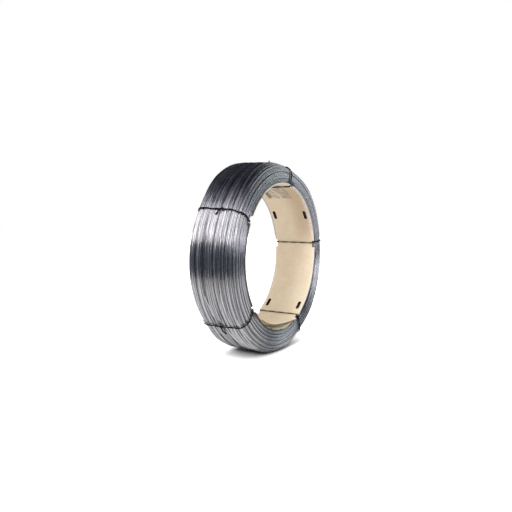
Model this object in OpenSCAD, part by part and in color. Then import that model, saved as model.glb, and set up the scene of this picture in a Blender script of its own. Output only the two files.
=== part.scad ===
// Coil of flux-cored welding wire: many layers of bright wire wound on a
// cardboard liner and held by five tie wires. It stands on its rim. The coil's axis
// lies along Y, and the floor is at Z = 0 straight below the axis.

/* [Liner] */
// Bore of the liner, which slides over the support arms of a wire reel
liner_bore_d = 304.8; // [290:0.1:320]
// Width of the liner along the coil's axis
liner_w = 103; // [90:1:120]
// Thickness of the liner's board
liner_t = 3; // [2:0.1:4]

/* [Lap joint of the liner] */
// Angle at which the strip's free inner end lies
lap_free_end = 233; // [228:1:245]
// Angle at which the strip's hidden outer end lies
lap_outer_end = 288; // [280:1:290]
// Angle at which the inner ply has joined the ring
lap_joined = 292; // [291:1:295]
// How far the inner ply bows inwards from the outer one
lap_bow = 10; // [4:0.5:14]

/* [Slots and notches of the liner] */
// Length of a slot along the strip, over its round ends
slot_l = 22.5; // [15:0.5:35]
// Width of a slot
slot_w = 7.5; // [5:0.5:10]
// From the liner's edge to a slot's middle line
slot_inset = 12; // [10:0.5:20]
// Distance between pairs of slots along the strip
slot_pitch = 230; // [200:1:235]
// Angle of the first pair of slots
slot_first = -50.4; // [-55:0.1:-46]
// Width of the notch in which a tie wire crosses the liner's edge
notch_w = 16; // [12:1:20]
// Depth of that notch
notch_depth = 5.5; // [4:0.5:7]
// How far along the rim the notch's middle lies from its tie wire
notch_shift = 3.5; // [0:0.5:4]
// Radius of a notch's bottom corners
notch_corner_r = 1.5; // [0.5:0.1:3]

/* [Winding] */
// Diameter of the welding wire
wire_d = 2.4; // [2:0.1:3.2]
// How far the lowest turns of the top layer lie below the highest ones
turn_drop = 1.2; // [0:0.1:1.5]
// Depth of the winding, from the liner out to the rim
winding_depth = 44.8; // [38:0.1:60]
// How far the flats of the winding's sides lie inside the liner's edges
side_inset = 1; // [0.5:0.1:3]
// How far each side leans in from its flat down to the liner
side_lean = 1.5; // [1:0.5:5]
// Height above the liner over which a side leans out
side_lean_h = 15; // [12:1:18]
// Radius that rounds the lean into the flat of the side
side_r = 20; // [10:1:30]
// Radius of the shoulder between a side and the rim
shoulder_r = 14; // [8:0.5:18]

/* [Tie wires] */
// Diameter of a tie wire
tie_d = 2.8; // [2:0.1:3.2]
// Angles of the five tie wires round the coil, from +X towards +Z
tie_angles = [9.5, 79.5, 151.5, 219.5, 298]; // [0:0.5:360]
// Where each tie wire's knot lies across the rim
knot_places = [4, 12, -10, 1, -6]; // [-25:1:25]
// How far each tie wire's twisted tail runs from its knot
tail_lengths = [12, 10, 11, 21, 14]; // [8:1:25]
// Thickness of the twisted knot
knot_d = 5; // [4:0.1:7]
// Thickness of the twisted tail
tail_d = 3.6; // [3:0.1:4.5]
// Angle between a tail and the run of the turns
tail_slant = 12; // [-30:1:30]

/* [Fit] */
// Air left between pieces that lie against each other
gap = 0.3; // [0.1:0.05:0.5]

/* [Hidden] */
$fn = 120;
knot_fn = 24;
bar_sides = 12;
bend_step = 18;
bore_r = liner_bore_d / 2;
liner_r = bore_r + liner_t;
edge_y = liner_w / 2;
side_y = edge_y - side_inset;
seat_y = side_y - side_lean;
winding_r = liner_r + gap;
coil_r = winding_r + winding_depth;
lap_points = 24;
slot_pairs = 4;
lap_skew = 1.3;
wire_crest_angles = [-55, -18, 18, 55];
uneven_step = 137.5;
cut = 10;

// The winding's section in a plane through the axis, as corners [radius, y, rounding].
section = [
    [winding_r, -seat_y, 0],
    [winding_r + side_lean_h, -side_y, side_r],
    [coil_r, -side_y, shoulder_r],
    [coil_r, side_y, shoulder_r],
    [winding_r + side_lean_h, side_y, side_r],
    [winding_r, seat_y, 0]
];

// A tie wire's middle line lies this far outside what it is bent over.
tie_off = gap + tie_d / 2;
tie_lean = atan2(side_lean, side_lean_h);
tie_path = [
    [bore_r - tie_off, -seat_y - tie_off, tie_off],
    [winding_r + side_lean_h - tie_off * tan(tie_lean / 2), -side_y - tie_off, side_r + tie_off],
    [coil_r + tie_off, -side_y - tie_off, shoulder_r + tie_off],
    [coil_r + tie_off, side_y + tie_off, shoulder_r + tie_off],
    [winding_r + side_lean_h - tie_off * tan(tie_lean / 2), side_y + tie_off, side_r + tie_off],
    [bore_r - tie_off, seat_y + tie_off, tie_off]
];

// ---- Rounded paths: straights joined by arcs that all turn left ----

function flat(p) = [p[0], p[1]];
function heading(a, b) = atan2(b[1] - a[1], b[0] - a[0]);
function turn(a, b, c) = (heading(b, c) - heading(a, b) + 360) % 360;
function along(p, angle, dist) = p + dist * [cos(angle), sin(angle)];
function arc_len(radius, angle) = radius * angle * PI / 180;
// From a corner to where its rounding starts
function corner_cut(a, b, c) = b[2] * tan(turn(a, b, c) / 2);

// A path's stretches as [start, heading, length, radius], where radius 0 is a straight.
// The corners run round once, and an open path leaves out the run from last to first.
function stretches(corners, closed) = let (n = len(corners)) [
    for (i = [0 : n - 1])
        let (
            before = corners[(i + n - 1) % n],
            here = corners[i],
            next = corners[(i + 1) % n],
            after = corners[(i + 2) % n],
            first = !closed && i == 0,
            last = !closed && i == n - 1,
            out = heading(here, next),
            cut_here = first || last ? 0 : corner_cut(before, here, next),
            cut_next = !closed && i == n - 2 ? 0 : corner_cut(here, next, after)
        )
        each concat(
            first || last ? [] : [[
                along(flat(here), heading(before, here), -cut_here),
                heading(before, here),
                arc_len(here[2], turn(before, here, next)),
                here[2]
            ]],
            last ? [] : [[
                along(flat(here), out, cut_here),
                out,
                norm(flat(next) - flat(here)) - cut_here - cut_next,
                0
            ]]
        )
];

function path_len(path, i = 0) = i == len(path) ? 0 : path[i][2] + path_len(path, i + 1);

// Position and heading at a distance along one stretch, and along a whole path
function on_stretch(s, dist) = s[3] == 0
    ? [along(s[0], s[1], dist), s[1]]
    : let (swing = dist / s[3] * 180 / PI)
      [along(along(s[0], s[1] + 90, s[3]), s[1] + swing - 90, s[3]), s[1] + swing];
function on_path(path, dist, i = 0) = dist <= path[i][2] || i == len(path) - 1
    ? on_stretch(path[i], dist)
    : on_path(path, dist - path[i][2], i + 1);

// Round bar bent along a closed path in the XY plane: rings of points round its arcs,
// joined each to the next
module bent_bar(path, d) {
    rings = [
        for (s = path)
            if (s[3] > 0)
                let (steps = ceil(s[2] / s[3] * 180 / PI / bend_step))
                for (k = [0 : steps]) on_stretch(s, s[2] * k / steps)
    ];
    n = len(rings);
    polyhedron(
        points = [
            for (ring = rings, k = [0 : bar_sides - 1])
                let (
                    around = 360 * k / bar_sides,
                    p = along(ring[0], ring[1] + 90, d / 2 * cos(around))
                )
                [p[0], p[1], d / 2 * sin(around)]
        ],
        faces = [
            for (i = [0 : n - 1], k = [0 : bar_sides - 1])
                let (j = (i + 1) % n, m = (k + 1) % bar_sides)
                [i * bar_sides + k, j * bar_sides + k, j * bar_sides + m, i * bar_sides + m]
        ]
    );
}

// ---- Placing things on the coil ----

// Turns its children's X axis to point out from the coil's axis at an angle
module at_angle(angle) {
    translate([0, 0, coil_r])
        rotate([0, -angle, 0])
            children();
}

// Turns a flat drawing of the coil seen from the front into a body of a given width
module across_coil(w) {
    translate([0, w / 2, coil_r])
        rotate([90, 0, 0])
            linear_extrude(w)
                children();
}

// ---- Winding ----

// Hand-laid turns lie unevenly: about half of them lie level, and the rest lower
function turn_depth(i) = wire_d / 2 + turn_drop * max(0, sin(i * uneven_step));

// Crest of one turn of wire, the outer part of its round section, at its depth
function crest(place, depth) = [
    for (a = wire_crest_angles)
        along(along(place[0], place[1] + 90, depth), place[1] - 90 + a, wire_d / 2)
];

module winding_section() {
    path = stretches(section, false);
    whole = path_len(path);
    turns = round(whole / wire_d);
    polygon([
        flat(section[len(section) - 1]),
        flat(section[0]),
        for (i = [0 : turns - 1])
            each crest(on_path(path, (i + 0.5) * whole / turns), turn_depth(i))
    ]);
}

module wire_coil() {
    color("slategray")
        translate([0, 0, coil_r])
            rotate([-90, 0, 0])
                rotate_extrude($fn = 180)
                    winding_section();
}

// ---- Liner ----

// Inner face of the inner ply: it starts one board inside the ring, bows inwards and
// runs out into the ring. The share is 0 at the free end and 1 where it has joined.
function ply_r(share) = bore_r - (liner_t + gap) * (1 - share) - lap_bow * sin(180 * pow(share, lap_skew));
function ply_point(share, off) =
    along([0, 0], lap_free_end + share * (lap_joined - lap_free_end), ply_r(share) + off);

module inner_ply() {
    polygon([
        for (i = [0 : lap_points]) ply_point(i / lap_points, 0),
        for (i = [lap_points : -1 : 0]) ply_point(i / lap_points, liner_t)
    ]);
}

// Leaves the ring open between the outer end and the place where the inner ply joins it
module lap_opening() {
    polygon([
        [0, 0],
        along([0, 0], lap_outer_end, 2 * liner_r),
        along([0, 0], lap_joined, 2 * liner_r)
    ]);
}

module liner_ring() {
    difference() {
        across_coil(liner_w)
            circle(r = liner_r);
        across_coil(liner_w + cut)
            circle(r = bore_r);
        across_coil(liner_w + cut)
            lap_opening();
    }
}

// A slot through the board, with round ends, long in the direction of the strip
module slot_cut() {
    for (end = [-1, 1])
        translate([bore_r - cut, 0, end * (slot_l - slot_w) / 2])
            rotate([0, 90, 0])
                cylinder(d = slot_w, h = liner_t + 2 * cut, $fn = 32);
    translate([bore_r - cut, -slot_w / 2, -(slot_l - slot_w) / 2])
        cube([liner_t + 2 * cut, slot_w, slot_l - slot_w]);
}

// A notch into the board's edge at +Y, with rounded bottom corners
module notch_cut() {
    translate([bore_r - cut, edge_y - notch_depth, 0])
        rotate([90, 0, 90])
            linear_extrude(liner_t + 2 * cut)
                union() {
                    for (end = [-1, 1])
                        translate([notch_corner_r, end * (notch_w / 2 - notch_corner_r)])
                            circle(r = notch_corner_r, $fn = 32);
                    translate([0, notch_corner_r - notch_w / 2])
                        square([notch_depth + cut, notch_w - 2 * notch_corner_r]);
                    translate([notch_corner_r, -notch_w / 2])
                        square([notch_depth + cut, notch_w]);
                }
}

module cardboard_liner() {
    color("burlywood")
        difference() {
            union() {
                liner_ring();
                across_coil(liner_w)
                    inner_ply();
            }
            for (i = [0 : slot_pairs - 1], side = [-1, 1])
                at_angle(slot_first + i * slot_pitch / bore_r * 180 / PI)
                    translate([0, side * (edge_y - slot_inset), 0])
                        slot_cut();
            for (angle = tie_angles, side = [0, 1])
                at_angle(angle - notch_shift / bore_r * 180 / PI)
                    mirror([0, side, 0])
                        notch_cut();
        }
}

// ---- Tie wires ----

// The twisted ends of a tie wire, lying on the rim in the direction of the turns
module knot_and_tail(place, tail) {
    translate([coil_r + gap + knot_d / 2, place, 0])
        rotate([90, 0, 0])
            translate([0, 0, -knot_d / 2])
                cylinder(d = knot_d, h = knot_d, $fn = knot_fn);
    translate([coil_r + gap + tail_d / 2, place, 0])
        rotate([tail_slant, 0, 0])
            cylinder(d = tail_d, h = tail, $fn = knot_fn);
}

module tie_wire(i) {
    color("dimgray")
        at_angle(tie_angles[i]) {
            bent_bar(stretches(tie_path, true), tie_d);
            knot_and_tail(knot_places[i], tail_lengths[i]);
        }
}

module tie_wire_1() tie_wire(0);
module tie_wire_2() tie_wire(1);
module tie_wire_3() tie_wire(2);
module tie_wire_4() tie_wire(3);
module tie_wire_5() tie_wire(4);

wire_coil();
cardboard_liner();
tie_wire_1();
tie_wire_2();
tie_wire_3();
tie_wire_4();
tie_wire_5();
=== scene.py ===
"""Looks of a coil of flux-cored welding wire on a lapped cardboard liner, held by five tie wires."""

import math

import bpy
import numpy as np
from mathutils import Matrix, Vector


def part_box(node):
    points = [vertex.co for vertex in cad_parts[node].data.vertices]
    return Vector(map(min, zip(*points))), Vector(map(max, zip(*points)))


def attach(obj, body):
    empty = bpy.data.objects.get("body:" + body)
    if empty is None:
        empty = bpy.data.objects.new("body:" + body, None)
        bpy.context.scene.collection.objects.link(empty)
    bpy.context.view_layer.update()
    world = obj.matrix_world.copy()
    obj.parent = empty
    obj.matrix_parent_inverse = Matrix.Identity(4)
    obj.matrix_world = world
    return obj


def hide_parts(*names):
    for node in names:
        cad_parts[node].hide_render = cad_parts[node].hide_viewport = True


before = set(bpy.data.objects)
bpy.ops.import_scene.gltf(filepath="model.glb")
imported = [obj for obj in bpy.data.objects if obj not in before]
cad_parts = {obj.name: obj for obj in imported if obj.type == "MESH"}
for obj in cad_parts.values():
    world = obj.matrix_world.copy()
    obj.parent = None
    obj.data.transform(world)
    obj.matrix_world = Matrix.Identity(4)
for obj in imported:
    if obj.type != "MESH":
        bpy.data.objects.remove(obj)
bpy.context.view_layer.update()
scene = bpy.context.scene

# Sizes in metres. The coil's axis lies along Y, and its near side faces -Y.
coil_low, coil_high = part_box("wire_coil")
liner_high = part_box("cardboard_liner")[1]
AXIS_Z = (coil_low.z + coil_high.z) / 2
COIL_R = (coil_high.z - coil_low.z) / 2
SIDE_Y = coil_high.y
LINER_EDGE_Y = liner_high.y
NOTCH_DEPTH = 0.0055
NOTCH_Y = LINER_EDGE_Y - NOTCH_DEPTH
LINER_R = liner_high.x
BOARD = 0.003
BORE_R = LINER_R - BOARD
SEAT_GAP = 0.0003
SEAT_R = LINER_R + SEAT_GAP
SIDE_LEAN = 0.0015
SEAT_Y = SIDE_Y - SIDE_LEAN
LEAN_HEIGHT = 0.015
LEAN_ROUNDING = 0.02
SHOULDER = 0.014
WIRE = 0.0024
TIE_STRAND = 0.0016
ALONG_AXIS = np.array([0, 1, 0])

# Each tie wire: its angle from +X towards +Z, how far it pulls in the rim and the near and far shoulders, and
# how far round it does so, its knot's place across the rim, its tail's length and slant, its twist's pitch,
# its brown where it runs over the liner, its drift at the near and far shoulders, and how far its tail's end
# stands up.
TIES = [
    dict(angle=9.5, rim=0.0008, near=0.0005, far=0.001, reach=0.042,
         knot=0.004, tail=0.012, slant=0.3, pitch=0.045, bore_brown=0.35, drift=(-0.0015, 0.0), up=0.0),
    dict(angle=79.5, rim=0.0046, near=0.0036, far=0.0012, reach=0.08,
         knot=0.004, tail=0.009, slant=-0.1, pitch=0.05, bore_brown=0.0, drift=(-0.0015, 0.0), up=0.0085),
    dict(angle=151.5, rim=0.0009, near=0.0032, far=0.0045, reach=0.042,
         knot=-0.016, tail=0.014, slant=1.1, pitch=0.055, bore_brown=0.3, drift=(0.003, -0.004), up=0.0),
    dict(angle=219.5, rim=0.0018, near=0.0002, far=0.001, reach=0.042,
         knot=0.001, tail=0.018, slant=-0.1, pitch=0.045, bore_brown=0.3, drift=(0.0006, 0.0022), up=0.0),
    dict(angle=298.0, rim=0.0018, near=0.0005, far=0.001, reach=0.042,
         knot=-0.006, tail=0.008, slant=-0.2, pitch=0.05, bore_brown=0.5, drift=(-0.005, -0.003), up=0.0),
]
TIE_ANGLES = np.radians([tie["angle"] for tie in TIES])
# How far the near side stands out of its flat, at angles round the coil.
NEAR_SIDE_OUT = [
    (0, 0.0026), (20, 0.0028), (45, 0.0026), (83, -0.001), (110, 0.0), (151, 0.0008),
    (220, 0.0008), (270, 0.0), (295, -0.0018), (310, 0.0028), (325, 0.0034), (345, 0.0026),
]


# ---------- lines and waves


def rounded_line(corners):
    """Even points and outward normals along a line with corners of (radius, y, rounding)."""
    corner_steps, spacing = 24, 0.0002
    spots = [np.array(corner[:2], float) for corner in corners]
    pieces = [np.array([spots[0]])]
    for before, spot, after, corner in zip(spots, spots[1:], spots[2:], corners[1:]):
        rounding = corner[2]
        into, out = spot - before, after - spot
        into, out = into / np.linalg.norm(into), out / np.linalg.norm(out)
        turning = into[0] * out[1] - into[1] * out[0]
        bend = math.atan2(abs(turning), float(into @ out))
        cut = rounding * math.tan(bend / 2)
        sweep = np.linspace(0, bend, corner_steps)[:, None]
        inward = np.array([-into[1], into[0]]) * (1 if turning > 0 else -1)
        pieces.append(spot - into * cut + rounding * (np.sin(sweep) * into + (1 - np.cos(sweep)) * inward))
    pieces.append(np.array([spots[-1]]))
    rough = np.concatenate(pieces)
    along = distances(rough)
    even = np.linspace(0, along[-1], int(along[-1] / spacing))
    points = np.stack([np.interp(even, along, rough[:, i]) for i in range(2)], axis=1)
    normals = beside(np.gradient(points, axis=0))
    return {"at": even, "points": points, "normals": normals, "length": along[-1]}


def distances(points):
    """How far along its line each point lies."""
    return np.concatenate([[0], np.cumsum(np.linalg.norm(np.diff(points, axis=0), axis=1))])


def beside(heading):
    """Unit directions square to the headings of a flat line, on its outer side."""
    heading = heading / np.linalg.norm(heading, axis=1)[:, None]
    return np.stack([heading[:, 1], -heading[:, 0]], axis=1)


def on_line(line, at):
    """Radius, y and the outward normal at distances along a line."""
    return [np.interp(at, line["at"], line[kind][:, i]) for kind in ("points", "normals") for i in range(2)]


def waves(rng, count, angles, highest, size, fade=0.7, lowest=1):
    """Smooth waves that close round the coil: a row for each of count wires, of a usual height of size."""
    orders = np.arange(lowest, highest + 1)
    weights = orders**-fade
    heights = rng.normal(0, 1, (count, len(orders))) * weights * size
    heights = heights / math.sqrt((weights**2).sum() / 2) / math.sqrt(2)
    phases = rng.uniform(0, math.tau, (count, len(orders)))
    rows = np.zeros((count, len(angles)))
    for i, order in enumerate(orders):
        rows += heights[:, i, None] * np.cos(order * angles[None, :] + phases[:, i, None])
    return rows


def full_circle(steps):
    """Even angles of one turn."""
    return np.linspace(0, math.tau, steps, endpoint=False)


def bell(x):
    """1 at 0, falling off smoothly to both sides."""
    return np.exp(-(x**2))


def ease(x):
    """0 to 1 with level ends."""
    x = np.clip(x, 0, 1)
    return x * x * (3 - 2 * x)


def rise_and_fall(share, part):
    """0 at both ends of a stretch and 1 between, eased over a part at each."""
    return ease(share / part) * ease((1 - share) / part)


def turn_gap(a, b):
    """The signed angle from b to a, the short way round."""
    return (a - b + math.pi) % (math.tau) - math.pi


def round_the_coil(known, levels, angles):
    """Levels known at some angles, carried smoothly from each to the next, right round."""
    known = np.concatenate([np.array(known) + turn * math.tau for turn in (-1, 0, 1)])
    levels = np.tile(levels, 3)
    angles = np.mod(angles, math.tau)
    k = np.clip(np.searchsorted(known, angles) - 1, 0, len(known) - 2)
    share = ease((angles - known[k]) / (known[k + 1] - known[k]))
    return levels[k] * (1 - share) + levels[k + 1] * share


def by_angle(table, angles):
    """The second column of a table of (degrees, level), at any angle."""
    return round_the_coil(np.radians([row[0] for row in table]), [row[1] for row in table], angles)


def at_ties(what, angles):
    """A size of the tie wires, carried smoothly from one to the next."""
    return round_the_coil(TIE_ANGLES, [tie[what] for tie in TIES], angles)


# ---------- the winding's shape

SECTION = rounded_line(
    [
        (SEAT_R, -SEAT_Y, 0),
        (SEAT_R + LEAN_HEIGHT, -SIDE_Y, LEAN_ROUNDING),
        (COIL_R, -SIDE_Y, SHOULDER),
        (COIL_R, SIDE_Y, SHOULDER),
        (SEAT_R + LEAN_HEIGHT, SIDE_Y, LEAN_ROUNDING),
        (SEAT_R, SEAT_Y, 0),
    ]
)
HALF = len(SECTION["at"]) // 2
SHOULDER_R = COIL_R - 0.0045
SHOULDER_AT = np.interp(SHOULDER_R, SECTION["points"][:HALF, 0], SECTION["at"][:HALF])
# Slow lumps: how often each comes round the coil, its length across it and its height.
LUMPS = [
    (2, 0.06, 0.00015), (3, 0.045, 0.00015), (5, 0.034, 0.0002), (7, 0.052, 0.00015), (9, 0.027, 0.00015),
]
LUMP_PHASES = np.random.default_rng(11).uniform(0, math.tau, (len(LUMPS), 2))

# By the bore the sides come out to the liner's edges, and dip into its notches at the ties.
BORE_SIDE_OUT = 0.0022
BORE_SIDE_IN = 0.0012
NOTCH_REACH = 0.012
# Heights over the liner at which the side and the rim begin, and over which they come to the full.
# The part by the bore fades over the last one.
SIDE_FROM, SIDE_OVER = 0.002, 0.02
RIM_FROM, RIM_OVER = 0.022, 0.022
BORE_FADE = 0.016
# How far the rim stands out between ties, the sides' share of a tie's pull, and its reach over a shoulder.
BETWEEN_TIES_OUT = 0.0002
SIDE_PULL = 0.25
SHOULDER_REACH = 0.01

# Valleys where the top layer leaves a gap: first and last angle, first and last y, width and depth.
# The turns part there by a share of the depth, within a reach.
VALLEY_PARTS, VALLEY_REACH = 0.45, 0.008
VALLEYS = [
    (196, 223, 0.000, -0.0065, 0.0028, 0.0016),
    (214, 254, 0.0042, -0.0115, 0.0024, 0.003),
    (244, 300, -0.0052, -0.0055, 0.003, 0.002),
    (226, 262, 0.017, 0.022, 0.0024, 0.0014),
    (158, 200, -0.024, -0.0205, 0.0024, 0.0013),
    (164, 215, 0.008, 0.0125, 0.0024, 0.0012),
    (100, 148, -0.018, -0.012, 0.0024, 0.0014),
    (96, 140, 0.016, 0.022, 0.0026, 0.0014),
    (20, 76, 0.006, -0.002, 0.0026, 0.0016),
    (305, 360, 0.015, 0.009, 0.0026, 0.0015),
    (318, 352, -0.016, -0.021, 0.0024, 0.0013),
]

# Steps in one turn of the top layer and of those below, and sides of their wires.
TOP_STEPS, LAYER_STEPS = 320, 144
TOP_SIDES, LAYER_SIDES = 8, 6
# How much lower the near part of the rim lies, by angle.
NEAR_RIM_IN = [(55, 0.0), (78, 0.002), (92, 0.0034), (112, 0.0008), (130, 0.0), (300, 0.0)]
# Strands that lie over the top layer low down: first and last angle, first and last place from the middle.
LAID_OVER = [(212, 244, -0.001, -0.0215), (214, 238, -0.0415, -0.048), (196, 216, 0.016, 0.008)]
# How strongly neighbouring turns differ in tone and height, by angle.
LINE_CONTRAST = [
    (0, 0.5), (60, 0.35), (100, 0.45), (130, 0.7), (158, 0.9), (168, 0.6), (182, 0.6),
    (192, 1.4), (204, 1.9), (232, 1.9), (250, 1.0), (275, 0.6), (300, 0.7), (340, 0.6),
]
# How much more than that their tones differ where the coil is worn.
WORN_CONTRAST = [(10, 0.0), (290, 0.0), (316, 1.0), (340, 1.0), (352, 0.3)]
# How dark the turns next to the liner are painted, by angle: painted shade for the shadowed gap by the
# liner's edge.
BORE_PAINTED_SHADE = [(12, 0.0), (300, 0.0), (314, 1.3), (346, 1.3), (358, 0.7)]
# How strongly neighbouring bundles differ in tone, by angle.
BUNDLE_CONTRAST = [(0, 0.4), (100, 0.4), (140, 0.3), (165, 0.0), (250, 0.0), (300, 0.3)]


def valley_at(valley, angles):
    """Where a valley's middle lies across the coil at given angles, and how open it is, from 0 to 1."""
    first, last, y0, y1 = valley[:4]
    share = (np.degrees(np.mod(angles, math.tau)) - first) / (last - first)
    return y0 + (y1 - y0) * np.clip(share, 0, 1), rise_and_fall(share, 0.12)


def near_ties(angles, radius, reaches):
    """1 at the tie wires, falling to 0 over a reach round the coil."""
    near = np.zeros_like(angles)
    for angle, reach in zip(TIE_ANGLES, reaches):
        near = np.maximum(near, bell(turn_gap(angles, angle) * radius / reach))
    return near


def near_notches(angles):
    """1 at the liner's notches, where the ties pass, and 0 away from them."""
    return near_ties(angles, SEAT_R, [NOTCH_REACH] * len(TIES))


def swell(at, angles):
    """How far the winding stands off its section: out between the ties, in at them, with slow lumps."""
    r, y, _, _ = on_line(SECTION, at)
    height = r - SEAT_R
    rim = ease((height - RIM_FROM) / RIM_OVER)
    side = ease((height - SIDE_FROM) / SIDE_OVER) * (1 - rim)
    near_tie = near_ties(angles, COIL_R, [tie["reach"] for tie in TIES])
    out = BETWEEN_TIES_OUT * (1 - near_tie) * rim
    out -= at_ties("rim", angles) * near_tie * (rim + SIDE_PULL * side)
    for what, middle in (("near", SHOULDER_AT), ("far", SECTION["length"] - SHOULDER_AT)):
        out -= at_ties(what, angles) * bell((at - middle) / SHOULDER_REACH) * np.sqrt(near_tie)
    out += side * by_angle(NEAR_SIDE_OUT, angles) * np.where(y < 0, 1, 0.4)
    out -= by_angle(NEAR_RIM_IN, angles) * rim * ease((-y - 0.008) / 0.028)
    by_the_bore = 1 - ease((height - SIDE_FROM) / BORE_FADE)
    at_notch = near_notches(angles)
    out += by_the_bore * (BORE_SIDE_OUT * (1 - at_notch) - BORE_SIDE_IN * at_notch)
    for (order, length, lump), (p, q) in zip(LUMPS, LUMP_PHASES):
        wave = np.cos(order * angles + p) * np.cos(math.tau * at / length + q)
        out += lump * (rim + 0.7 * side) * wave
    for valley in VALLEYS:
        width, depth = valley[4:]
        middle, open_here = valley_at(valley, angles)
        out -= depth * open_here * rim * bell((y - middle) / width)
    return out


def place(at, angles, height):
    """Points and outward directions for wires along the section, pressed level at the floor."""
    r, y, nr, ny = on_line(SECTION, at)
    lift = height + swell(at, angles)
    r, y = r + nr * lift, y + ny * lift
    points = np.stack([r * np.cos(angles), y, r * np.sin(angles) + AXIS_Z], axis=-1)
    pressed = 0.0006
    over = points[..., 2] - WIRE / 2 - pressed
    points[..., 2] = np.where(over < 0, WIRE / 2 + pressed * np.exp(over / pressed), points[..., 2])
    outward = np.stack([nr * np.cos(angles), ny, nr * np.sin(angles)], axis=-1)
    return points, outward


def settle(at, least, rounds=160):
    """Turns pushed apart until none lies closer to the next than least."""
    first, last = at[0].copy(), at[-1].copy()
    for _ in range(rounds):
        push = np.clip(least - np.diff(at, axis=0), 0, None) * 0.5
        at[:-1] -= push
        at[1:] += push
        at[0], at[-1] = first, last
    return at


def laid_turns(rng, first, last):
    """Rest places of the top turns and their bundles, with wide gaps on the sides only."""
    side_length, side_gaps = 0.036, (0.0009, 0.0021)
    turn_gaps, rim_gaps = [0, 0.0002, 0.0007], (0.0002, 0.001)
    rest, bundle, spot, count = [], [], first, 0
    while spot < last:
        on_side = min(spot - first, last - spot) < side_length
        for _ in range(rng.choice([2, 3, 4, 5] if on_side else [1, 2, 2, 3])):
            rest.append(spot)
            bundle.append(count)
            spot += WIRE + (0 if on_side else rng.choice(turn_gaps))
        spot += rng.uniform(*(side_gaps if on_side else rim_gaps))
        count += 1
    rest = np.array(rest)
    return first + (rest - first) * (last - first) / (rest[-1] - first), np.array(bundle)


# ---------- wire meshes


def add_object(name, data):
    """An object in the scene."""
    made = bpy.data.objects.new(name, data)
    scene.collection.objects.link(made)
    return made


def swept_rings(points, outward, thick, sides):
    """Rings of corners round a line of points."""
    around = full_circle(sides)
    heading = np.gradient(points, axis=0)
    heading /= np.linalg.norm(heading, axis=1)[:, None]
    across = np.cross(heading, outward)
    across /= np.linalg.norm(across, axis=1)[:, None]
    upright = np.cross(across, heading)
    rings = points[:, None, :] + thick / 2 * np.cos(around)[None, :, None] * upright[:, None, :]
    rings += thick / 2 * np.sin(around)[None, :, None] * across[:, None, :]
    return rings.reshape(-1, 3)


def ring_faces(base, count, sides):
    """Four-cornered faces between neighbouring rings."""
    ring = base + np.arange(count - 1)[:, None] * sides
    j = np.arange(sides)[None, :]
    k = (j + 1) % sides
    return np.stack([ring + j, ring + k, ring + sides + k, ring + sides + j], -1).reshape(-1, 4)


def unrolled(count, sides, width, lane, lanes):
    """Places for a wire's faces on a flat sheet, in lanes as wide as so many steps."""
    step = np.arange(count - 1)[:, None]
    v0 = (lane + step // width + np.arange(sides)[None, :] / sides * 0.96) / lanes
    v1 = v0 + 0.9 / sides / lanes
    u0 = (step % width) / width + 0 * v0
    u1 = u0 + 1 / width
    corners = (u0, v0), (u0, v1), (u1, v1), (u1, v0)
    return np.stack([np.stack(corner, -1) for corner in corners], -2).reshape(-1, 2)


def mesh_piece(name, corners, faces, caps, places, tones):
    """One piece of smooth faces and flat caps, with places on a flat sheet and tones."""
    mesh = bpy.data.meshes.new(name)
    mesh.vertices.add(len(corners))
    mesh.vertices.foreach_set("co", corners.ravel())
    loops = np.concatenate([faces.ravel(), caps.ravel()])
    mesh.loops.add(len(loops))
    mesh.loops.foreach_set("vertex_index", loops.astype(np.int32))
    mesh.polygons.add(len(faces) + len(caps))
    starts = np.concatenate([np.arange(len(faces)) * 4, faces.size + np.arange(len(caps)) * caps.shape[1]])
    mesh.polygons.foreach_set("loop_start", starts.astype(np.int32))
    mesh.polygons.foreach_set("use_smooth", np.arange(len(starts)) < len(faces))
    mesh.update(calc_edges=True)
    layer = mesh.uv_layers.new(name="OFBake")
    layer.data.foreach_set("uv", places.ravel())
    tone_layer = mesh.attributes.new("tone", "FLOAT", "POINT")
    tone_layer.data.foreach_set("value", tones.astype(np.float32))
    mesh.validate()
    return add_object(name, mesh)


def wire_mesh(name, runs, sides, width=None):
    """One piece of round wires with closed ends, each of points, outward directions, thickness and tone."""
    corners, faces, caps, places, tones = [], [], [], [], []
    lanes = [max(1, len(run[0]) // (width or len(run[0]))) + 1 for run in runs]
    base = 0
    for i, (points, outward, thick, tone) in enumerate(runs):
        count = len(points)
        corners.append(swept_rings(points, outward, thick, sides))
        faces.append(ring_faces(base, count, sides))
        last = base + (count - 1) * sides
        caps += [np.arange(base, base + sides)[::-1], np.arange(last, last + sides)]
        places.append(unrolled(count, sides, width or count, sum(lanes[:i]), sum(lanes)))
        tones.append(np.repeat(np.broadcast_to(tone, (count,)), sides))
        base += count * sides
    caps = np.array(caps)
    places.append(np.full((caps.size, 2), 0.999))
    corners, faces, places, tones = (np.concatenate(part) for part in (corners, faces, places, tones))
    return mesh_piece(name, corners, faces, caps, places, tones)


def helix(at, height, tones, angles):
    """The turns joined into one strand, each stepping over to the next in its last part."""
    step_over = 0.1
    share = ease((np.arange(len(angles))[None, :] / len(angles) - (1 - step_over)) / step_over)
    at, height, tones = (rows[:-1] + share * (rows[1:] - rows[:-1]) for rows in (at, height, tones))
    rounds = np.broadcast_to(angles[None, :], at.shape)
    return at.ravel(), height.ravel(), tones.ravel(), rounds.ravel()


def varied_tones(rng, count):
    """Tones of neighbouring turns: well apart from each other, and even over a few turns."""
    return np.clip(np.mod(np.arange(count) * 0.618, 1) + rng.normal(0, 0.1, count), 0, 1)


def part_at_valleys(at, angles):
    """Turns drawn apart at a valley, so that the layer below shows in its bottom."""
    for valley in VALLEYS:
        middle, open_here = valley_at(valley, angles)
        off = at - (SECTION["length"] / 2 + middle)
        at = at + np.sign(off) * (VALLEY_PARTS * valley[5] * open_here * bell(off / VALLEY_REACH))
    return at


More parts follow.
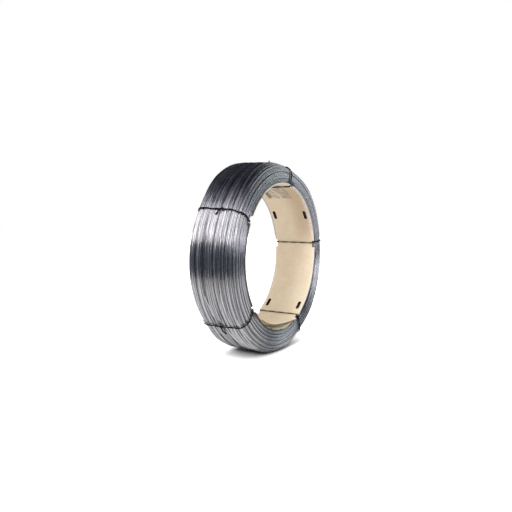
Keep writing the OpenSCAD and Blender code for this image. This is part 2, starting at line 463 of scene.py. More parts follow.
def top_layer():
    """The outermost layer: one strand laid from the near bore edge over the rim to the far one."""
    rng = np.random.default_rng(21)
    angles = full_circle(TOP_STEPS)
    rest, bundle = laid_turns(rng, WIRE / 2, SECTION["length"] - WIRE / 2)
    turns, bundles = len(rest), bundle[-1] + 1
    at = rest[:, None] + waves(rng, bundles, angles, highest=5, size=0.0007)[bundle]
    at += waves(rng, turns, angles, highest=9, size=0.0002)
    at[0], at[-1] = rest[0], rest[-1]
    at = settle(part_at_valleys(np.sort(at, axis=0), angles), WIRE * 0.97)
    height = waves(rng, bundles, angles, highest=7, size=0.00008)[bundle]
    height += waves(rng, turns, angles, highest=36, size=0.00014, fade=0.4, lowest=4)
    contrast = by_angle(LINE_CONTRAST, angles)
    height += rng.normal(0, 0.00024, turns)[:, None] * contrast
    calm = ease((rest - 0.004) / 0.02) * ease((SECTION["length"] - rest - 0.004) / 0.02)
    height = -WIRE / 2 + height * calm[:, None]
    contrast += by_angle(WORN_CONTRAST, angles)
    tones = 0.5 + (varied_tones(rng, turns) - 0.5)[:, None] * contrast
    tones += (varied_tones(rng, bundles) - 0.5)[bundle][:, None] * by_angle(BUNDLE_CONTRAST, angles)
    # Painted shade: the turns next to the liner are toned dark at its notches and over the angles of that
    # table, where they lie in shade.
    by_the_bore = ease((0.009 - rest) / 0.006)[:, None]
    tones -= by_the_bore * (2.0 * near_notches(angles) + by_angle(BORE_PAINTED_SHADE, angles))
    return helix(at, height, tones, angles), rest


def over_the_layer(at, angles, share, part, height, tone):
    """One strand that rises out of the layer, lies over it at a height in wires, and dives again."""
    depth = 1.4
    lift = -depth * WIRE + rise_and_fall(share, part) * (height + depth) * WIRE
    points, outward = place(at, angles, lift)
    return points, outward, WIRE * 0.98, tone


def crossing_strands():
    """Strands that wandered over their neighbours, and those that lie over the layer low down."""
    rng = np.random.default_rng(34)
    middle = SECTION["length"] / 2
    anywhere, low_down = 8, 7
    runs = []
    for k in range(anywhere + low_down):
        low = k >= anywhere
        first = math.radians(rng.uniform(192, 226) if low else rng.uniform(0, 360))
        sweep = math.radians(rng.uniform(60, 95) if low else rng.uniform(80, 160))
        share = np.linspace(0, 1, int(math.degrees(sweep) / 1.25))
        start = middle + rng.uniform(-0.042, 0.02) if low else rng.uniform(0.035, 2 * middle - 0.035)
        across = rng.choice([-1, 1]) * rng.uniform(0.004, 0.016)
        at = start + across * ease(share) + 0.0006 * np.sin(share * rng.uniform(5, 14) + k)
        at = np.clip(at, 0.012, 2 * middle - 0.012)
        height, tone = (0.12, 1.0) if low else (0.05, rng.uniform(0, 1))
        runs.append(over_the_layer(at, first + sweep * share, share, 0.22, height, tone))
    for first, last, start, end in LAID_OVER:
        share = np.linspace(0, 1, last - first)
        angles = np.radians(first + (last - first) * share)
        runs.append(over_the_layer(middle + start + (end - start) * share, angles, share, 0.25, 0.2, 1.3))
    return runs


def second_layer():
    """The layer under the top one, laid in its valleys, in dark tones as painted shade."""
    rng = np.random.default_rng(5)
    turns, depth = 76, 1.4
    angles = full_circle(LAYER_STEPS)
    rest = np.linspace(WIRE, SECTION["length"] - WIRE, turns)[:, None]
    at = rest + waves(rng, turns, angles, highest=5, size=0.0005)
    at = settle(at, least=WIRE * 0.95, rounds=60)
    height = waves(rng, turns, angles, highest=5, size=0.0001) - WIRE * depth
    # Painted shade: this layer's tones are kept dark, from 0 to 0.35.
    at, height, tones, rounds = helix(at, height, rng.uniform(0, 0.35, turns)[:, None], angles)
    points, outward = place(at, rounds, height)
    return [(points, outward, WIRE, tones)]


def first_layer():
    """The layer wound on the liner, which closes the winding's bore side."""
    rng = np.random.default_rng(8)
    turns = 37
    y = np.linspace(WIRE - SEAT_Y, SEAT_Y - WIRE, turns)[:, None] + np.zeros((1, LAYER_STEPS))
    at, _, tones, rounds = helix(y, y, rng.uniform(0, 1, turns)[:, None], full_circle(LAYER_STEPS))
    outward = np.stack([np.cos(rounds), 0 * rounds, np.sin(rounds)], -1)
    points = outward * (SEAT_R + WIRE / 2) + np.stack([0 * at, at, 0 * at + AXIS_Z], -1)
    return [(points, outward, WIRE, tones)]


def build_winding(steel, first_layer_shade_steel):
    """The winding's pieces, riding on the coil's body and standing for its solid."""
    (at, height, tones, rounds), rest = top_layer()
    points, outward = place(at, rounds, height)
    to_rim, to_far_side = np.searchsorted(rest, (SHOULDER_AT, SECTION["length"] - SHOULDER_AT))
    starts = (0, to_rim, to_far_side, len(rest) - 1)
    made = []
    for name, first, last in zip(("near_side_turns", "rim_turns", "far_side_turns"), starts, starts[1:]):
        cut = slice(first * TOP_STEPS, last * TOP_STEPS + 1)
        run = points[cut], outward[cut], WIRE, tones[cut]
        made.append(wire_mesh(name, [run], TOP_SIDES, TOP_STEPS))
    made.append(wire_mesh("layer_below", second_layer(), LAYER_SIDES, LAYER_STEPS))
    made.append(wire_mesh("layer_on_the_liner", first_layer(), LAYER_SIDES, LAYER_STEPS))
    made.append(wire_mesh("crossing_strands", crossing_strands(), TOP_SIDES))
    for piece in made:
        # The layer on the liner gets the dark steel, as painted shade.
        piece.data.materials.append(first_layer_shade_steel if piece.name == "layer_on_the_liner" else steel)
        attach(piece, "root")
        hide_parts("wire_coil")


# ---------- the tie wires


def taut(points):
    """The corners that a wire pulled tight over points still touches."""
    kept = []
    for point in points:
        while len(kept) > 1:
            a, b = kept[-1] - kept[-2], point - kept[-1]
            if a[0] * b[1] - a[1] * b[0] > 0:
                break
            kept.pop()
        kept.append(point)
    return np.array(kept)


def tie_line(angle):
    """The closed line of one tie: over the winding at that angle, and back through the bore."""
    off, clear, spacing = TIE_STRAND * 0.95, 0.0002, 0.0008
    at = np.arange(0.003, SECTION["length"] - 0.003, 0.001)
    r, y, nr, ny = on_line(SECTION, at)
    lift = swell(at, np.full_like(at, angle)) + off + clear
    over = taut(np.stack([r + nr * lift, y + ny * lift], 1))
    foot = NOTCH_Y + off + clear
    bore = np.stack([np.full(96, BORE_R - off), np.linspace(foot, -foot, 96)], 1)
    rough = np.concatenate([bore[48:], over, bore[:48]])
    along = distances(rough)
    length = along[-1] + np.linalg.norm(rough[0] - rough[-1])
    even = np.arange(0, along[-1], spacing)
    points = np.stack([np.interp(even, along, rough[:, i]) for i in range(2)], 1)
    blur = bell(np.arange(-5, 6) / 2.0)
    blur /= blur.sum()
    points = sum(weight * np.roll(points, k - 5, axis=0) for k, weight in enumerate(blur))
    normals = beside(np.roll(points, -1, axis=0) - np.roll(points, 1, axis=0))
    return points, normals, length


def twisted(points, side, up, pitch, spread, start=0.0):
    """The centre lines of two strands that twist round a line."""
    along = distances(points)
    pair = []
    for half in (0, math.pi):
        turn = math.tau * along / pitch + half + start
        pair.append(points + spread * (np.cos(turn)[:, None] * side + np.sin(turn)[:, None] * up))
    return pair


def tie_loop(number, radial, round_way):
    """The two strands of a tie's loop, and the place of its knot."""
    tie = TIES[number - 1]
    line, normals, length = tie_line(TIE_ANGLES[number - 1])
    r, y = line.T
    pitch = length / round(length / tie["pitch"])
    middle = r[:, None] * radial + y[:, None] * ALONG_AXIS + np.array([0, 0, AXIS_Z])
    outward = normals[:, 0, None] * radial + normals[:, 1, None] * ALONG_AXIS
    wobble = waves(np.random.default_rng(number), 1, np.linspace(0, math.tau, len(middle)), 9, 0.0006)[0]
    calm = ease((r - BORE_R - 0.006) / 0.012)
    drift = np.interp(y, (-0.04, 0.04), tie["drift"]) * ease((r - SEAT_R - 0.004) / 0.035)
    middle += (wobble * calm + drift)[:, None] * round_way
    bore_brown = tie["bore_brown"] * ease((BORE_R + 0.004 - r) / 0.004)
    bore_brown, closed_outward = np.append(bore_brown, bore_brown[:2]), np.concatenate([outward, outward[:2]])
    runs = []
    sideways = np.broadcast_to(round_way, outward.shape)
    for strand in twisted(middle, sideways, outward, pitch, TIE_STRAND * 0.46):
        runs.append((np.concatenate([strand, strand[:2]]), closed_outward, TIE_STRAND, bore_brown))
    return runs, middle[np.argmin(np.hypot(y - tie["knot"], r - COIL_R))]


def tie_tail(tie, foot, radial, round_way):
    """The two ends of a tie, twisted into a short tail that lies down on the rim."""
    share = np.linspace(0, 1, 60)[:, None]
    top, top_at, sink = 0.003, 0.4, 0.0021
    rise = top * np.sin(np.clip(share / top_at, 0, 1) * math.pi / 2)
    rise = rise - sink * ease((share - top_at) / (1 - top_at)) + tie["up"] * share
    forward = round_way + tie["slant"] * ALONG_AXIS
    forward = forward / np.linalg.norm(forward)
    reach = ease(share / 0.3) * share * (tie["tail"] + 0.003)
    stem = foot + radial * (rise - reach**2 / (2 * COIL_R)) + forward * reach
    sideways = np.cross(forward, radial)
    pair = twisted(stem, sideways, radial, pitch=0.0058, spread=TIE_STRAND * 0.5, start=0.7)
    return [(strand, np.broadcast_to(radial, strand.shape), TIE_STRAND, 0.0) for strand in pair]


def tie_wrap(foot, radial, round_way):
    """The turns that a tie's end takes round its own loop at the knot."""
    rounds, width = 1.7, 0.0034
    wrap = np.linspace(0, math.tau * rounds, 44)[:, None]
    loop = foot + ALONG_AXIS * (width * (wrap / wrap.max() - 0.5)) + radial * 0.0004
    loop += TIE_STRAND * 1.35 * (np.cos(wrap) * round_way + np.sin(wrap) * radial)
    return [(loop, np.broadcast_to(ALONG_AXIS, loop.shape), TIE_STRAND * 0.9, 0.0)]


def build_tie(number, black):
    """One tie: a doubled wire twisted round the section, with its knot and its tail."""
    angle = TIE_ANGLES[number - 1]
    radial = np.array([math.cos(angle), 0, math.sin(angle)])
    round_way = np.array([-math.sin(angle), 0, math.cos(angle)])
    runs, foot = tie_loop(number, radial, round_way)
    runs += tie_tail(TIES[number - 1], foot, radial, round_way)
    runs += tie_wrap(foot, radial, round_way)
    piece = wire_mesh(f"twisted_tie_{number}", runs, TOP_SIDES)
    piece.data.materials.append(black)
    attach(piece, "root")
    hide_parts(f"tie_wire_{number}")


# ---------- materials


class Nodes:
    """Short ways to add and join nodes."""

    def __init__(self, tree):
        self.tree = tree

    def add(self, kind, **settings):
        node = self.tree.nodes.new(kind)
        for key, value in settings.items():
            setattr(node, key, value)
        return node

    def put(self, socket, value):
        if isinstance(value, bpy.types.NodeSocket):
            self.tree.links.new(value, socket)
        elif value is not None:
            socket.default_value = (*value, 1) if socket.type == "RGBA" else value

    def calc(self, operation, a, b=None, c=None, clamp=False):
        node = self.add("ShaderNodeMath", operation=operation, use_clamp=clamp)
        for socket, value in zip(node.inputs, (a, b, c)):
            self.put(socket, value)
        return node.outputs[0]

    def times(self, a, b):
        return self.calc("MULTIPLY", a, b)

    def plus(self, a, b):
        return self.calc("ADD", a, b)

    def mix(self, share, a, b):
        node = self.add("ShaderNodeMix", data_type="RGBA")
        self.put(node.inputs["Factor"], share)
        for socket, colour in zip(node.inputs[6:8], (a, b)):
            self.put(socket, colour)
        return node.outputs[2]

    def lay(self, under, mask, strength, colour):
        return self.mix(self.times(mask, strength), under, colour)

    def object_place(self):
        return self.add("ShaderNodeTexCoord").outputs["Object"]

    def tone(self):
        return self.add("ShaderNodeAttribute", attribute_name="tone").outputs["Fac"]

    def noise(self, where, scale, detail=3.0, rough=0.5, stretch=None):
        if stretch:
            mapping = self.add("ShaderNodeVectorMath", operation="MULTIPLY")
            self.put(mapping.inputs[0], where)
            mapping.inputs[1].default_value = stretch
            where = mapping.outputs[0]
        node = self.add("ShaderNodeTexNoise")
        self.put(node.inputs["Vector"], where)
        self.put(node.inputs["Scale"], scale)
        self.put(node.inputs["Detail"], detail)
        self.put(node.inputs["Roughness"], rough)
        return node.outputs["Fac"]

    def span(self, value, low, high, to_low=0.0, to_high=1.0):
        node = self.add("ShaderNodeMapRange", interpolation_type="SMOOTHSTEP")
        for socket, given in zip(node.inputs, (value, low, high, to_low, to_high)):
            self.put(socket, given)
        return node.outputs[0]

    def bump(self, height, strength, distance):
        node = self.add("ShaderNodeBump")
        self.put(node.inputs["Height"], height)
        self.put(node.inputs["Strength"], strength)
        self.put(node.inputs["Distance"], distance)
        return node.outputs[0]

    def group(self, tree, **given):
        node = self.add("ShaderNodeGroup")
        node.node_tree = tree
        for key, value in given.items():
            self.put(node.inputs[key.replace("_", " ")], value)
        return node.outputs


def new_group(name, inputs, outputs):
    """A shader node group with value or colour sockets. Inputs carry their usual values."""
    tree = bpy.data.node_groups.new(name, "ShaderNodeTree")
    for socket, value in inputs.items():
        colour = isinstance(value, tuple)
        kind = "NodeSocketColor" if colour else "NodeSocketFloat"
        made = tree.interface.new_socket(socket, in_out="INPUT", socket_type=kind)
        made.default_value = (*value, 1) if colour else value
    for socket, kind in outputs.items():
        tree.interface.new_socket(socket, in_out="OUTPUT", socket_type="NodeSocket" + kind)
    nodes = Nodes(tree)
    return tree, nodes, nodes.add("NodeGroupInput").outputs, nodes.add("NodeGroupOutput").inputs


def make_coil_place():
    """Where a point lies on the coil: its angle in degrees, radius and place across, in metres."""
    tree, n, given, out = new_group(
        "place_on_coil",
        {"Axis Height": AXIS_Z},
        {"Angle": "Float", "Radius": "Float", "Across": "Float"},
    )
    parts = n.add("ShaderNodeSeparateXYZ")
    n.put(parts.inputs[0], n.object_place())
    x, y, z = parts.outputs
    z = n.calc("SUBTRACT", z, given["Axis Height"])
    angle = n.times(n.calc("ARCTAN2", z, x), 180 / math.pi)
    angle = n.plus(angle, n.times(n.calc("LESS_THAN", angle, 0.0), 360.0))
    radius = n.calc("SQRT", n.plus(n.times(x, x), n.times(z, z)))
    for socket, value in zip(out, (angle, radius, y)):
        n.put(socket, value)
    return tree


def make_drawn_metal(coil_place):
    """Drawn wire: each turn a little lighter or darker, with drawn-out stains and uneven polish."""
    tree, n, given, out = new_group(
        "drawn_metal",
        {
            "Dark": (0.4, 0.4, 0.4), "Light": (0.6, 0.6, 0.6), "Stain": (0.3, 0.25, 0.2),
            "Stain Amount": 0.3, "Least Roughness": 0.2, "Most Roughness": 0.4,
        },
        {"Color": "Color", "Roughness": "Float", "Height": "Float"},
    )
    tone = n.tone()
    spot = n.group(coil_place)
    joined = n.add("ShaderNodeCombineXYZ")
    scales = {"Angle": 0.05, "Radius": 160.0, "Across": 160.0}
    for socket, (name, scale) in zip(joined.inputs, scales.items()):
        n.put(socket, n.times(spot[name], scale))
    drawn_out = joined.outputs[0]
    slow = n.noise(drawn_out, 1.0, 2.0)
    fine = n.noise(n.object_place(), 900.0, 2.0)
    shade = n.calc("ADD", n.times(tone, 0.7), n.times(slow, 0.3), clamp=True)
    stains = n.span(n.noise(drawn_out, 2.3, 4.0, 0.6), 0.5, 0.7)
    colour = n.mix(shade, given["Dark"], given["Light"])
    n.put(out["Color"], n.lay(colour, stains, given["Stain Amount"], given["Stain"]))
    polish = n.plus(n.times(n.noise(drawn_out, 3.1, 3.0), 0.4), n.times(fine, 0.15))
    polish = n.plus(polish, n.times(tone, 0.45))
    n.put(out["Roughness"], n.span(polish, 0.35, 0.65, given["Least Roughness"], given["Most Roughness"]))
    n.put(out["Height"], fine)
    return tree


def make_board_fibre():
    """Fibreboard: short fibres, cloudy pulp and small dark specks."""
    tree, n, given, out = new_group(
        "board_fibre",
        {
            "Light": (0.8, 0.7, 0.5), "Dark": (0.6, 0.5, 0.35),
            "Speck": (0.2, 0.14, 0.08), "Fibre Scale": 420.0,
        },
        {"Color": "Color", "Height": "Float"},
    )
    where = n.object_place()
    fibre = n.noise(where, given["Fibre Scale"], 4.0, 0.65, (1.0, 0.22, 1.0))
    cross = n.noise(where, given["Fibre Scale"], 3.0, 0.6, (0.3, 1.3, 0.3))
    pulp = n.noise(where, 34.0, 4.0, 0.6)
    mass = n.plus(n.plus(n.times(fibre, 0.4), n.times(cross, 0.2)), n.times(pulp, 0.4))
    colour = n.mix(n.span(mass, 0.36, 0.64), given["Dark"], given["Light"])
    specks = n.span(n.noise(where, 330.0, 2.0, 0.4), 0.715, 0.76)
    n.put(out["Color"], n.lay(colour, specks, 0.7, given["Speck"]))
    n.put(out["Height"], n.plus(n.times(fibre, 0.7), n.times(cross, 0.3)))
    return tree


def new_material(name):
    """A material with its nodes and its shader's sockets."""
    material = bpy.data.materials.new(name)
    material.use_nodes = True
    nodes = Nodes(material.node_tree)
    shader = material.node_tree.nodes["Principled BSDF"]
    return material, nodes, shader.inputs


def drawn_surface(name, drawn_metal, bump, depth, metallic, specular=0.5, bore_brown=None, **given):
    """A material of drawn metal, with its polish and relief, and brown where its tone says so."""
    material, n, surface = new_material(name)
    metal = n.group(drawn_metal, **given)
    n.put(surface["Base Color"], n.mix(n.tone(), metal["Color"], bore_brown) if bore_brown else metal["Color"])
    n.put(surface["Roughness"], metal["Roughness"])
    n.put(surface["Normal"], n.bump(metal["Height"], bump, depth))
    surface["Metallic"].default_value = metallic
    surface["Specular IOR Level"].default_value = specular
    return material


def make_steel(drawn_metal):
    """Bright drawn steel of the welding wire."""
    return drawn_surface(
        "bright_drawn_steel", drawn_metal, bump=0.04, depth=0.0001, metallic=1.0,
        Dark=(0.235, 0.255, 0.285), Light=(0.88, 0.86, 0.88), Stain=(0.5, 0.44, 0.42),
        Stain_Amount=0.5, Least_Roughness=0.14, Most_Roughness=0.3,
    )


def make_shaded_first_layer_steel(drawn_metal):
    """The first layer's wire, dark as painted shade, which shows only through the liner's slots."""
    return drawn_surface(
        "first_layer_painted_shade_steel", drawn_metal, bump=0.2, depth=0.0001, metallic=0.6,
        Dark=(0.03, 0.028, 0.026), Light=(0.07, 0.066, 0.06), Stain=(0.05, 0.04, 0.03),
        Stain_Amount=0.5, Least_Roughness=0.5, Most_Roughness=0.7,
    )


def make_tie_black(drawn_metal):
    """Black annealed wire of the ties, brown where it crosses the liner."""
    return drawn_surface(
        "black_annealed_wire", drawn_metal, bump=0.25, depth=0.00012, metallic=0.0, specular=0.2,
        Dark=(0.005, 0.005, 0.007), Light=(0.016, 0.015, 0.016), Stain=(0.018, 0.012, 0.009),
        Stain_Amount=0.4, Least_Roughness=0.45, Most_Roughness=0.65, bore_brown=(0.3, 0.16, 0.11),
    )


def between(n, value, low, high, soft):
    """1 where a value lies between low and high, with soft ends."""
    return n.times(n.span(value, low - soft, low + soft), n.span(value, high - soft, high + soft, 1.0, 0.0))


def board_edges(n, colour, where, angle, radius, facing):
    """Cut edges: patchy painted shade from 125° to 291° and darker painted shade from 303° to 354°, pale
    elsewhere, brown on the inner ply.
    """
    ply = 0.0009
    cut_face = n.span(n.calc("ABSOLUTE", facing), 0.5, 0.9)
    layers = n.span(n.calc("SINE", n.times(radius, math.tau / ply)), -0.6, 0.6)
    pale = n.mix(layers, (0.6, 0.56, 0.5), (0.86, 0.83, 0.79))
    patches = n.span(n.noise(where, 60.0, 3.0, 0.6), 0.4, 0.62)
    # Painted shade: where the winding shades the liner's cut edge, it is dark in patches.
    edge_shade_patches = n.mix(patches, (0.085, 0.082, 0.06), (0.36, 0.34, 0.22))
    edge_shade_side = between(n, angle, 125.0, 291.0, 6.0)
    edge = n.mix(edge_shade_side, pale, edge_shade_patches)
    # Painted shade: from 303° to 354° the cut edge is nearly black, for the shadowed gap between it and the
    # wires.
    edge = n.mix(between(n, angle, 303.0, 354.0, 4.0), edge, (0.055, 0.055, 0.05))
    inner_ply = n.times(edge_shade_side, n.span(radius, BORE_R - 0.0004, BORE_R - 0.0002, 1.0, 0.0))
    return n.mix(cut_face, colour, n.mix(inner_ply, edge, (0.26, 0.18, 0.1)))


def faint_print(n, where, angle, across):
    """Masks of two faint printed blocks, of their dark corner and of the crease between them."""
    blocks = n.times(between(n, angle, 56.5, 84.0, 0.8), between(n, across, -0.026, 0.035, 0.0012))
    worn = n.span(n.noise(where, 150.0, 4.0, 0.7), 0.38, 0.6, 0.35, 1.0)
    slant = n.calc("MULTIPLY_ADD", n.calc("SUBTRACT", angle, 56.0), 0.0006, 0.0005)
    off_crease = n.calc("ABSOLUTE", n.calc("SUBTRACT", across, slant))
    crease = n.span(off_crease, 0.0018, 0.0036, 1.0, 0.0)
    crease = n.times(crease, between(n, angle, 54.0, 88.0, 1.0))
    corner = n.times(between(n, angle, 57.5, 69.0, 1.5), between(n, across, 0.025, 0.033, 0.002))
    return n.times(blocks, worn), corner, crease


def lap_faces(n, angle, radius, face_out):
    """A mask of the two faces inside the lap, where one ply lies on the other."""
    on_outer_ply = n.times(n.span(face_out, -0.5, -0.8), n.span(radius, BORE_R - 0.0006, BORE_R - 0.0003))
    on_inner_ply = n.times(n.span(face_out, 0.5, 0.8), n.span(radius, BORE_R + 0.0008, BORE_R + 0.0004))
    return n.times(n.calc("MAXIMUM", on_outer_ply, on_inner_ply), between(n, angle, 236.0, 289.0, 1.0))


def make_liner_board(coil_place, board_fibre):
    """Brown-grey fibreboard with pale worn rims, cut edges, faint print, painted light in the lap, and
    painted shade on the upper right, the far rim, the cut edges, the slot walls and the outer face by the
    winding.
    """
    material, n, surface = new_material("liner_fibreboard")
    spot = n.group(coil_place, Axis_Height=AXIS_Z)
    angle, radius, across = spot["Angle"], spot["Radius"], spot["Across"]
    where = n.object_place()
    fibre = n.group(
        board_fibre, Light=(0.89, 0.77, 0.59), Dark=(0.8, 0.665, 0.485),
        Speck=(0.26, 0.17, 0.09), Fibre_Scale=420.0,
    )
    clouds = n.span(n.noise(where, 14.0, 2.0), 0.42, 0.66)
    # A pinkish tint, with painted shade: the liner's upper right is darker, most towards the near side.
    pinkish_and_shade = between(n, angle, 12.0, 76.0, 12.0)
    yellowed = n.times(between(n, angle, 50.0, 80.0, 4.0), between(n, across, -0.044, -0.03, 0.003))
    block, corner, crease = faint_print(n, where, angle, across)
    rim = n.span(n.calc("ABSOLUTE", across), LINER_EDGE_Y - 0.009, LINER_EDGE_Y - 0.002)
    ragged = n.times(rim, n.span(n.noise(where, 150.0, 4.0, 0.7), 0.3, 0.6))
    # Painted shade: a grey line along the far rim on the upper right.
    far_rim_shade = n.span(across, LINER_EDGE_Y - 0.0045, LINER_EDGE_Y - 0.003)
    far_rim_shade = n.times(far_rim_shade, between(n, angle, 12.0, 75.0, 6.0))
    colour = fibre["Color"]
    for mask, strength, tint in (
        (clouds, 0.35, (0.86, 0.7, 0.53)),
        (pinkish_and_shade, n.span(across, 0.01, -0.036, 0.0, 0.8), (0.57, 0.43, 0.31)),
        (yellowed, 0.5, (0.66, 0.52, 0.28)),
        (block, 0.85, (0.39, 0.33, 0.29)),
        (corner, 0.7, (0.14, 0.1, 0.08)),
        (crease, 0.9, (0.78, 0.71, 0.55)),
        (ragged, 0.75, (0.86, 0.8, 0.76)),
        (far_rim_shade, 0.7, (0.46, 0.43, 0.46)),
    ):
        colour = n.lay(colour, mask, strength, tint)
    facing = n.add("ShaderNodeSeparateXYZ")
    n.put(facing.inputs[0], n.add("ShaderNodeNewGeometry").outputs["Normal"])
    spoke = n.times(angle, math.pi / 180)
    face_out = n.times(facing.outputs[0], n.calc("COSINE", spoke))
    face_out = n.calc("MULTIPLY_ADD", facing.outputs[2], n.calc("SINE", spoke), face_out)
    # Painted light: the faces inside the lap's gap are made pale, for light that reaches into it.
    colour = n.mix(lap_faces(n, angle, radius, face_out), colour, (0.95, 0.92, 0.8))
    colour = board_edges(n, colour, where, angle, radius, facing.outputs[1])
    # Smudges with painted shade: the liner's outer face next to the winding is darkened in patches, for oil
    # and for the shade between liner and winding.
    on_the_wire = n.span(radius, LINER_R - 0.0008, LINER_R - 0.0003)
    smudge_and_shade = n.times(on_the_wire, n.span(n.noise(where, 45.0, 3.0), 0.1, 0.4))
    colour = n.lay(colour, smudge_and_shade, 0.92, (0.06, 0.058, 0.05))
    # Painted shade: the walls of the liner's slots are nearly black.
    slot_wall_shade = n.calc("LESS_THAN", n.calc("ABSOLUTE", face_out), 0.6)
    inland = n.calc("LESS_THAN", n.calc("ABSOLUTE", across), LINER_EDGE_Y - 0.007)
    n.put(surface["Base Color"], n.lay(colour, slot_wall_shade, inland, (0.03, 0.022, 0.014)))
    surface["Roughness"].default_value = 0.82
    surface["Specular IOR Level"].default_value = 0.25
    n.put(surface["Normal"], n.bump(fibre["Height"], 0.35, 0.0004))
    return material


# ---------- stage, light and camera


def first_mirror(n, path):
    """1 for what is seen mirrored in metal, 0 for light that first bounced off a matt surface."""
    return n.times(path["Is Glossy Ray"], n.calc("LESS_THAN", path["Diffuse Depth"], 0.5))


def grid_mesh(name, corners):
    """A sheet of four-cornered faces between rows of corners."""
    rows, columns = corners.shape[:2]
    quads = []
    for i in range(rows - 1):
        for j in range(columns - 1):
            first = i * columns + j
            quads.append((first, first + 1, first + columns + 1, first + columns))
    mesh = bpy.data.meshes.new(name)
    mesh.from_pydata(corners.reshape(-1, 3).tolist(), [], quads)
    return mesh


def build_floor():
    """A wide pale floor that keeps the coil's soft shadow and is white round it."""
    size, count = 9.0, 12
    grid = np.linspace(-size, size, count)
    x, y = np.meshgrid(grid, grid)
    mesh = grid_mesh("floor", np.stack([x, y, 0 * x], -1))
    floor = add_object("floor", mesh)
    material, n, surface = new_material("pale_floor")
    tint = n.mix(n.noise(n.object_place(), 3.0), (0.84, 0.84, 0.84), (0.86, 0.86, 0.86))
    path = n.add("ShaderNodeLightPath").outputs
    mirrored = n.mix(first_mirror(n, path), tint, (FLOOR_MIRRORED,) * 3)
    # Painted contact shade: for the camera the floor darkens by ambient occlusion close to the coil.
    corner = n.add("ShaderNodeAmbientOcclusion", samples=8)
    corner.inputs["Distance"].default_value = FLOOR_CORNER_REACH
    shade = n.calc("POWER", corner.outputs["AO"], FLOOR_CORNER_SHADE)
    white = n.mix(shade, (0, 0, 0), (FLOOR_WHITE,) * 3)
    n.put(surface["Base Color"], n.mix(path["Is Camera Ray"], mirrored, white))
    surface["Roughness"].default_value = 1.0
    surface["Specular IOR Level"].default_value = 0.0
    mesh.materials.append(material)


def build_flag(name, corners, glow):
    """A studio flag or soft reflector that only the polished wire mirrors, as a grid of corners."""
    mesh = grid_mesh(name, corners)
    flag = add_object(name, mesh)
    material = bpy.data.materials.new(name)
    material.use_nodes = True
    material.node_tree.nodes.clear()
    n = Nodes(material.node_tree)
    light = n.add("ShaderNodeEmission")
    light.inputs["Color"].default_value = (*glow, 1)
    n.put(light.inputs["Strength"], first_mirror(n, n.add("ShaderNodeLightPath").outputs))
    n.put(n.add("ShaderNodeOutputMaterial").inputs["Surface"], light.outputs[0])
    mesh.materials.append(material)
    flag.visible_camera = flag.visible_diffuse = flag.visible_shadow = False


def build_curved_flag(name, azimuths, heights, distance, glow):
    """A flag bent round the coil's middle."""
    columns, rows = 24, 10
    a = np.radians(np.linspace(*azimuths, columns))[None, :]
    e = np.radians(np.linspace(*heights, rows))[:, None]
    x = distance * np.cos(e) * np.cos(a)
    y = distance * np.cos(e) * np.sin(a)
    z = distance * np.sin(e) + AXIS_Z + 0 * a
    build_flag(name, np.stack([x, y, z], -1), glow)


def build_floor_card(name, xs, ys, glow):
    """A card that lies just above the floor."""
    x, y = np.meshgrid(xs, ys)
    build_flag(name, np.stack([x, y, 0 * x + 0.0015], -1), glow)


# The floor's tint as seen straight and as the wire mirrors it, and how far and how deep its painted contact
# shade reaches near the coil.
FLOOR_WHITE = 2.1
FLOOR_MIRRORED = 0.9
FLOOR_CORNER_REACH = 0.035
FLOOR_CORNER_SHADE = 0.6
# The surround's strength as light. Seen straight or mirrored it is white.
SKY = 0.82
# Flags and reflectors: azimuth from +X towards +Y, height above the coil's middle, distance and glow.
FLAGS = {
    "overhead_flag": ((-180, 180), (50.5, 90), 3.2, (0.037, 0.04, 0.05)),
    "right_back_flag": ((-8, 122), (5, 50.5), 3.3, (0.028, 0.03, 0.044)),
    "front_flag": ((-122, -8), (13, 50.5), 3.3, (0.036, 0.044, 0.06)),
    "front_card": ((-122, -66), (2, 13), 1.0, (3.6, 3.55, 3.85)),
    "front_card_end": ((-66, -53), (2, 13), 1.0, (0.25, 0.28, 0.36)),
    "right_card_top_left": ((-52, -36), (7, 16), 0.9, (1.15, 1.25, 1.4)),
    "right_card_top": ((-36, -8), (7, 16), 0.9, (1.75, 1.92, 1.9)),
    "right_card_upper": ((-42, -8), (16, 34), 0.9, (0.75, 0.83, 0.82)),
    "right_card_high": ((-52, -8), (2, 7), 0.9, (1.5, 1.58, 1.65)),
    "right_card_side": ((-52, -37), (-12, 2), 0.9, (0.42, 0.44, 0.45)),
    "right_card_low": ((-37, -24), (-12, 2), 0.9, (0.15, 0.17, 0.19)),
    "right_card_last": ((-24, -8), (-12, 2), 0.9, (0.18, 0.21, 0.25)),
    "low_left_flag": ((100, 262), (-18, 14), 0.62, (0.084, 0.097, 0.127)),
    "low_front_card": ((-98, -52), (-17, -8), 0.62, (0.6, 0.6, 0.63)),
    "low_front_flag": ((-112, -52), (-8, -1), 0.62, (0.06, 0.067, 0.082)),
    "left_side_card": ((203, 238), (12, 24), 2.9, (1.75, 1.66, 1.74)),
}
# Cards that lie on the floor: from and to along X and along Y, and glow.
# These cards show only in the wire's reflections, as painted reflections of the floor: the front and left
# cards set how light the floor looks there, and the contact card paints the shade under the coil.
FLOOR_CARDS = {
    "front_right_card": ((0.12, 1.2), (-0.9, -0.07), (0.25, 0.26, 0.29)),
    "front_middle_card": ((-0.03, 0.12), (-0.9, -0.056), (0.32, 0.335, 0.365)),
    "contact_card": ((-0.075, 0.03), (-0.05, 0.052), (0.08, 0.08, 0.09)),
    "left_floor_card": ((-0.58, -0.4), (-0.45, 0.45), (0.68, 0.67, 0.62)),
}
# The left softbox and the ceiling that fades above it, in rows: lowest height, highest height and glow.
SOFTBOX_ROWS = [(14, 17, 0.43), (17, 22, 0.5), (22, 30, 0.75), (30, 38, 1.68), (38, 50.5, 3.2)]
CEILING_ROWS = [(50.5, 56, 0.61), (56, 61, 0.315), (61, 68, 0.155), (68, 78, 0.068)]


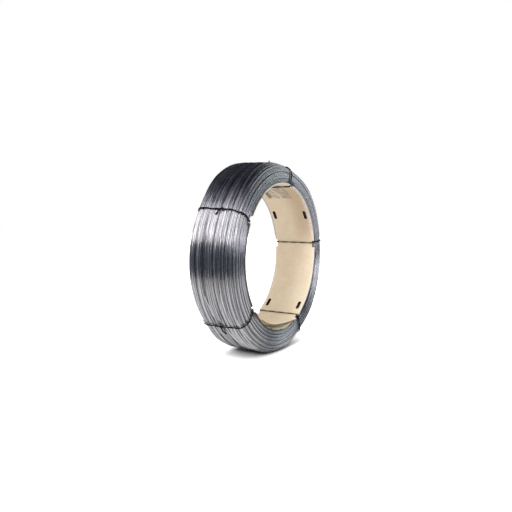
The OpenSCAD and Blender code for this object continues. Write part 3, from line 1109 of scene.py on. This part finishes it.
def build_light():
    """A white surround, a soft light from the left, and the flags that the bright wire mirrors."""
    world = bpy.data.worlds.new("studio")
    scene.world = world
    world.use_nodes = True
    n = Nodes(world.node_tree)
    path = n.add("ShaderNodeLightPath").outputs
    through = n.calc("MAXIMUM", first_mirror(n, path), path["Is Transmission Ray"])
    seen = n.calc("MAXIMUM", path["Is Camera Ray"], through)
    background = world.node_tree.nodes["Background"]
    background.inputs["Color"].default_value = (1, 1, 1, 1)
    n.put(background.inputs["Strength"], n.calc("MULTIPLY_ADD", seen, 1.0 - SKY, SKY))
    lamp = bpy.data.lights.new("broad_soft_light", "SUN")
    lamp.energy = 1.5
    lamp.angle = math.radians(14)
    lamp.specular_factor = 0.15
    made = add_object("broad_soft_light", lamp)
    made.rotation_euler = Vector((-0.88, -0.08, 0.47)).to_track_quat("Z", "Y").to_euler()
    for name, flag in FLAGS.items():
        build_curved_flag(name, *flag)
    for lowest, highest, glow in SOFTBOX_ROWS:
        tint = (glow, 0.975 * glow, 0.995 * glow)
        build_curved_flag(f"left_softbox_{lowest}", (138, 238), (lowest, highest), 3.0, tint)
    for lowest, highest, glow in CEILING_ROWS:
        tint = (0.95 * glow, 0.95 * glow, 1.15 * glow)
        build_curved_flag(f"ceiling_{highest}", (108, 252), (lowest, highest), 3.0, tint)
    for name, card in FLOOR_CARDS.items():
        build_floor_card(name, *card)


def build_camera():
    """The camera, in front and to the left, a little above the coil's middle."""
    turn, rise, roll = (math.radians(x) for x in (-59.168, 3.776, 0.585))
    back = Vector((math.sin(turn) * math.cos(rise), -math.cos(turn) * math.cos(rise), math.sin(rise)))
    right = Vector((0, 0, 1)).cross(back).normalized()
    up = back.cross(right)
    level_right = math.cos(roll) * right + math.sin(roll) * up
    level_up = -math.sin(roll) * right + math.cos(roll) * up
    eye = Vector((-0.941, -0.5441, AXIS_Z + 0.0708))
    data = bpy.data.cameras.new("camera")
    data.lens = 35.4515625
    data.sensor_width = 36
    data.clip_start, data.clip_end = 0.05, 60
    camera = add_object("camera", data)
    axes = Matrix((level_right, level_up, back)).transposed().to_4x4()
    camera.matrix_world = Matrix.Translation(eye) @ axes
    scene.camera = camera


# ---------- the whole

coil_place = make_coil_place()
drawn_metal = make_drawn_metal(coil_place)
build_winding(make_steel(drawn_metal), make_shaded_first_layer_steel(drawn_metal))
black = make_tie_black(drawn_metal)
for number in range(1, 6):
    build_tie(number, black)
board = make_liner_board(coil_place, make_board_fibre())
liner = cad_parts["cardboard_liner"]
for seat in liner.material_slots:
    seat.material = board
build_floor()
build_light()
build_camera()
scene.view_settings.view_transform = "Standard"
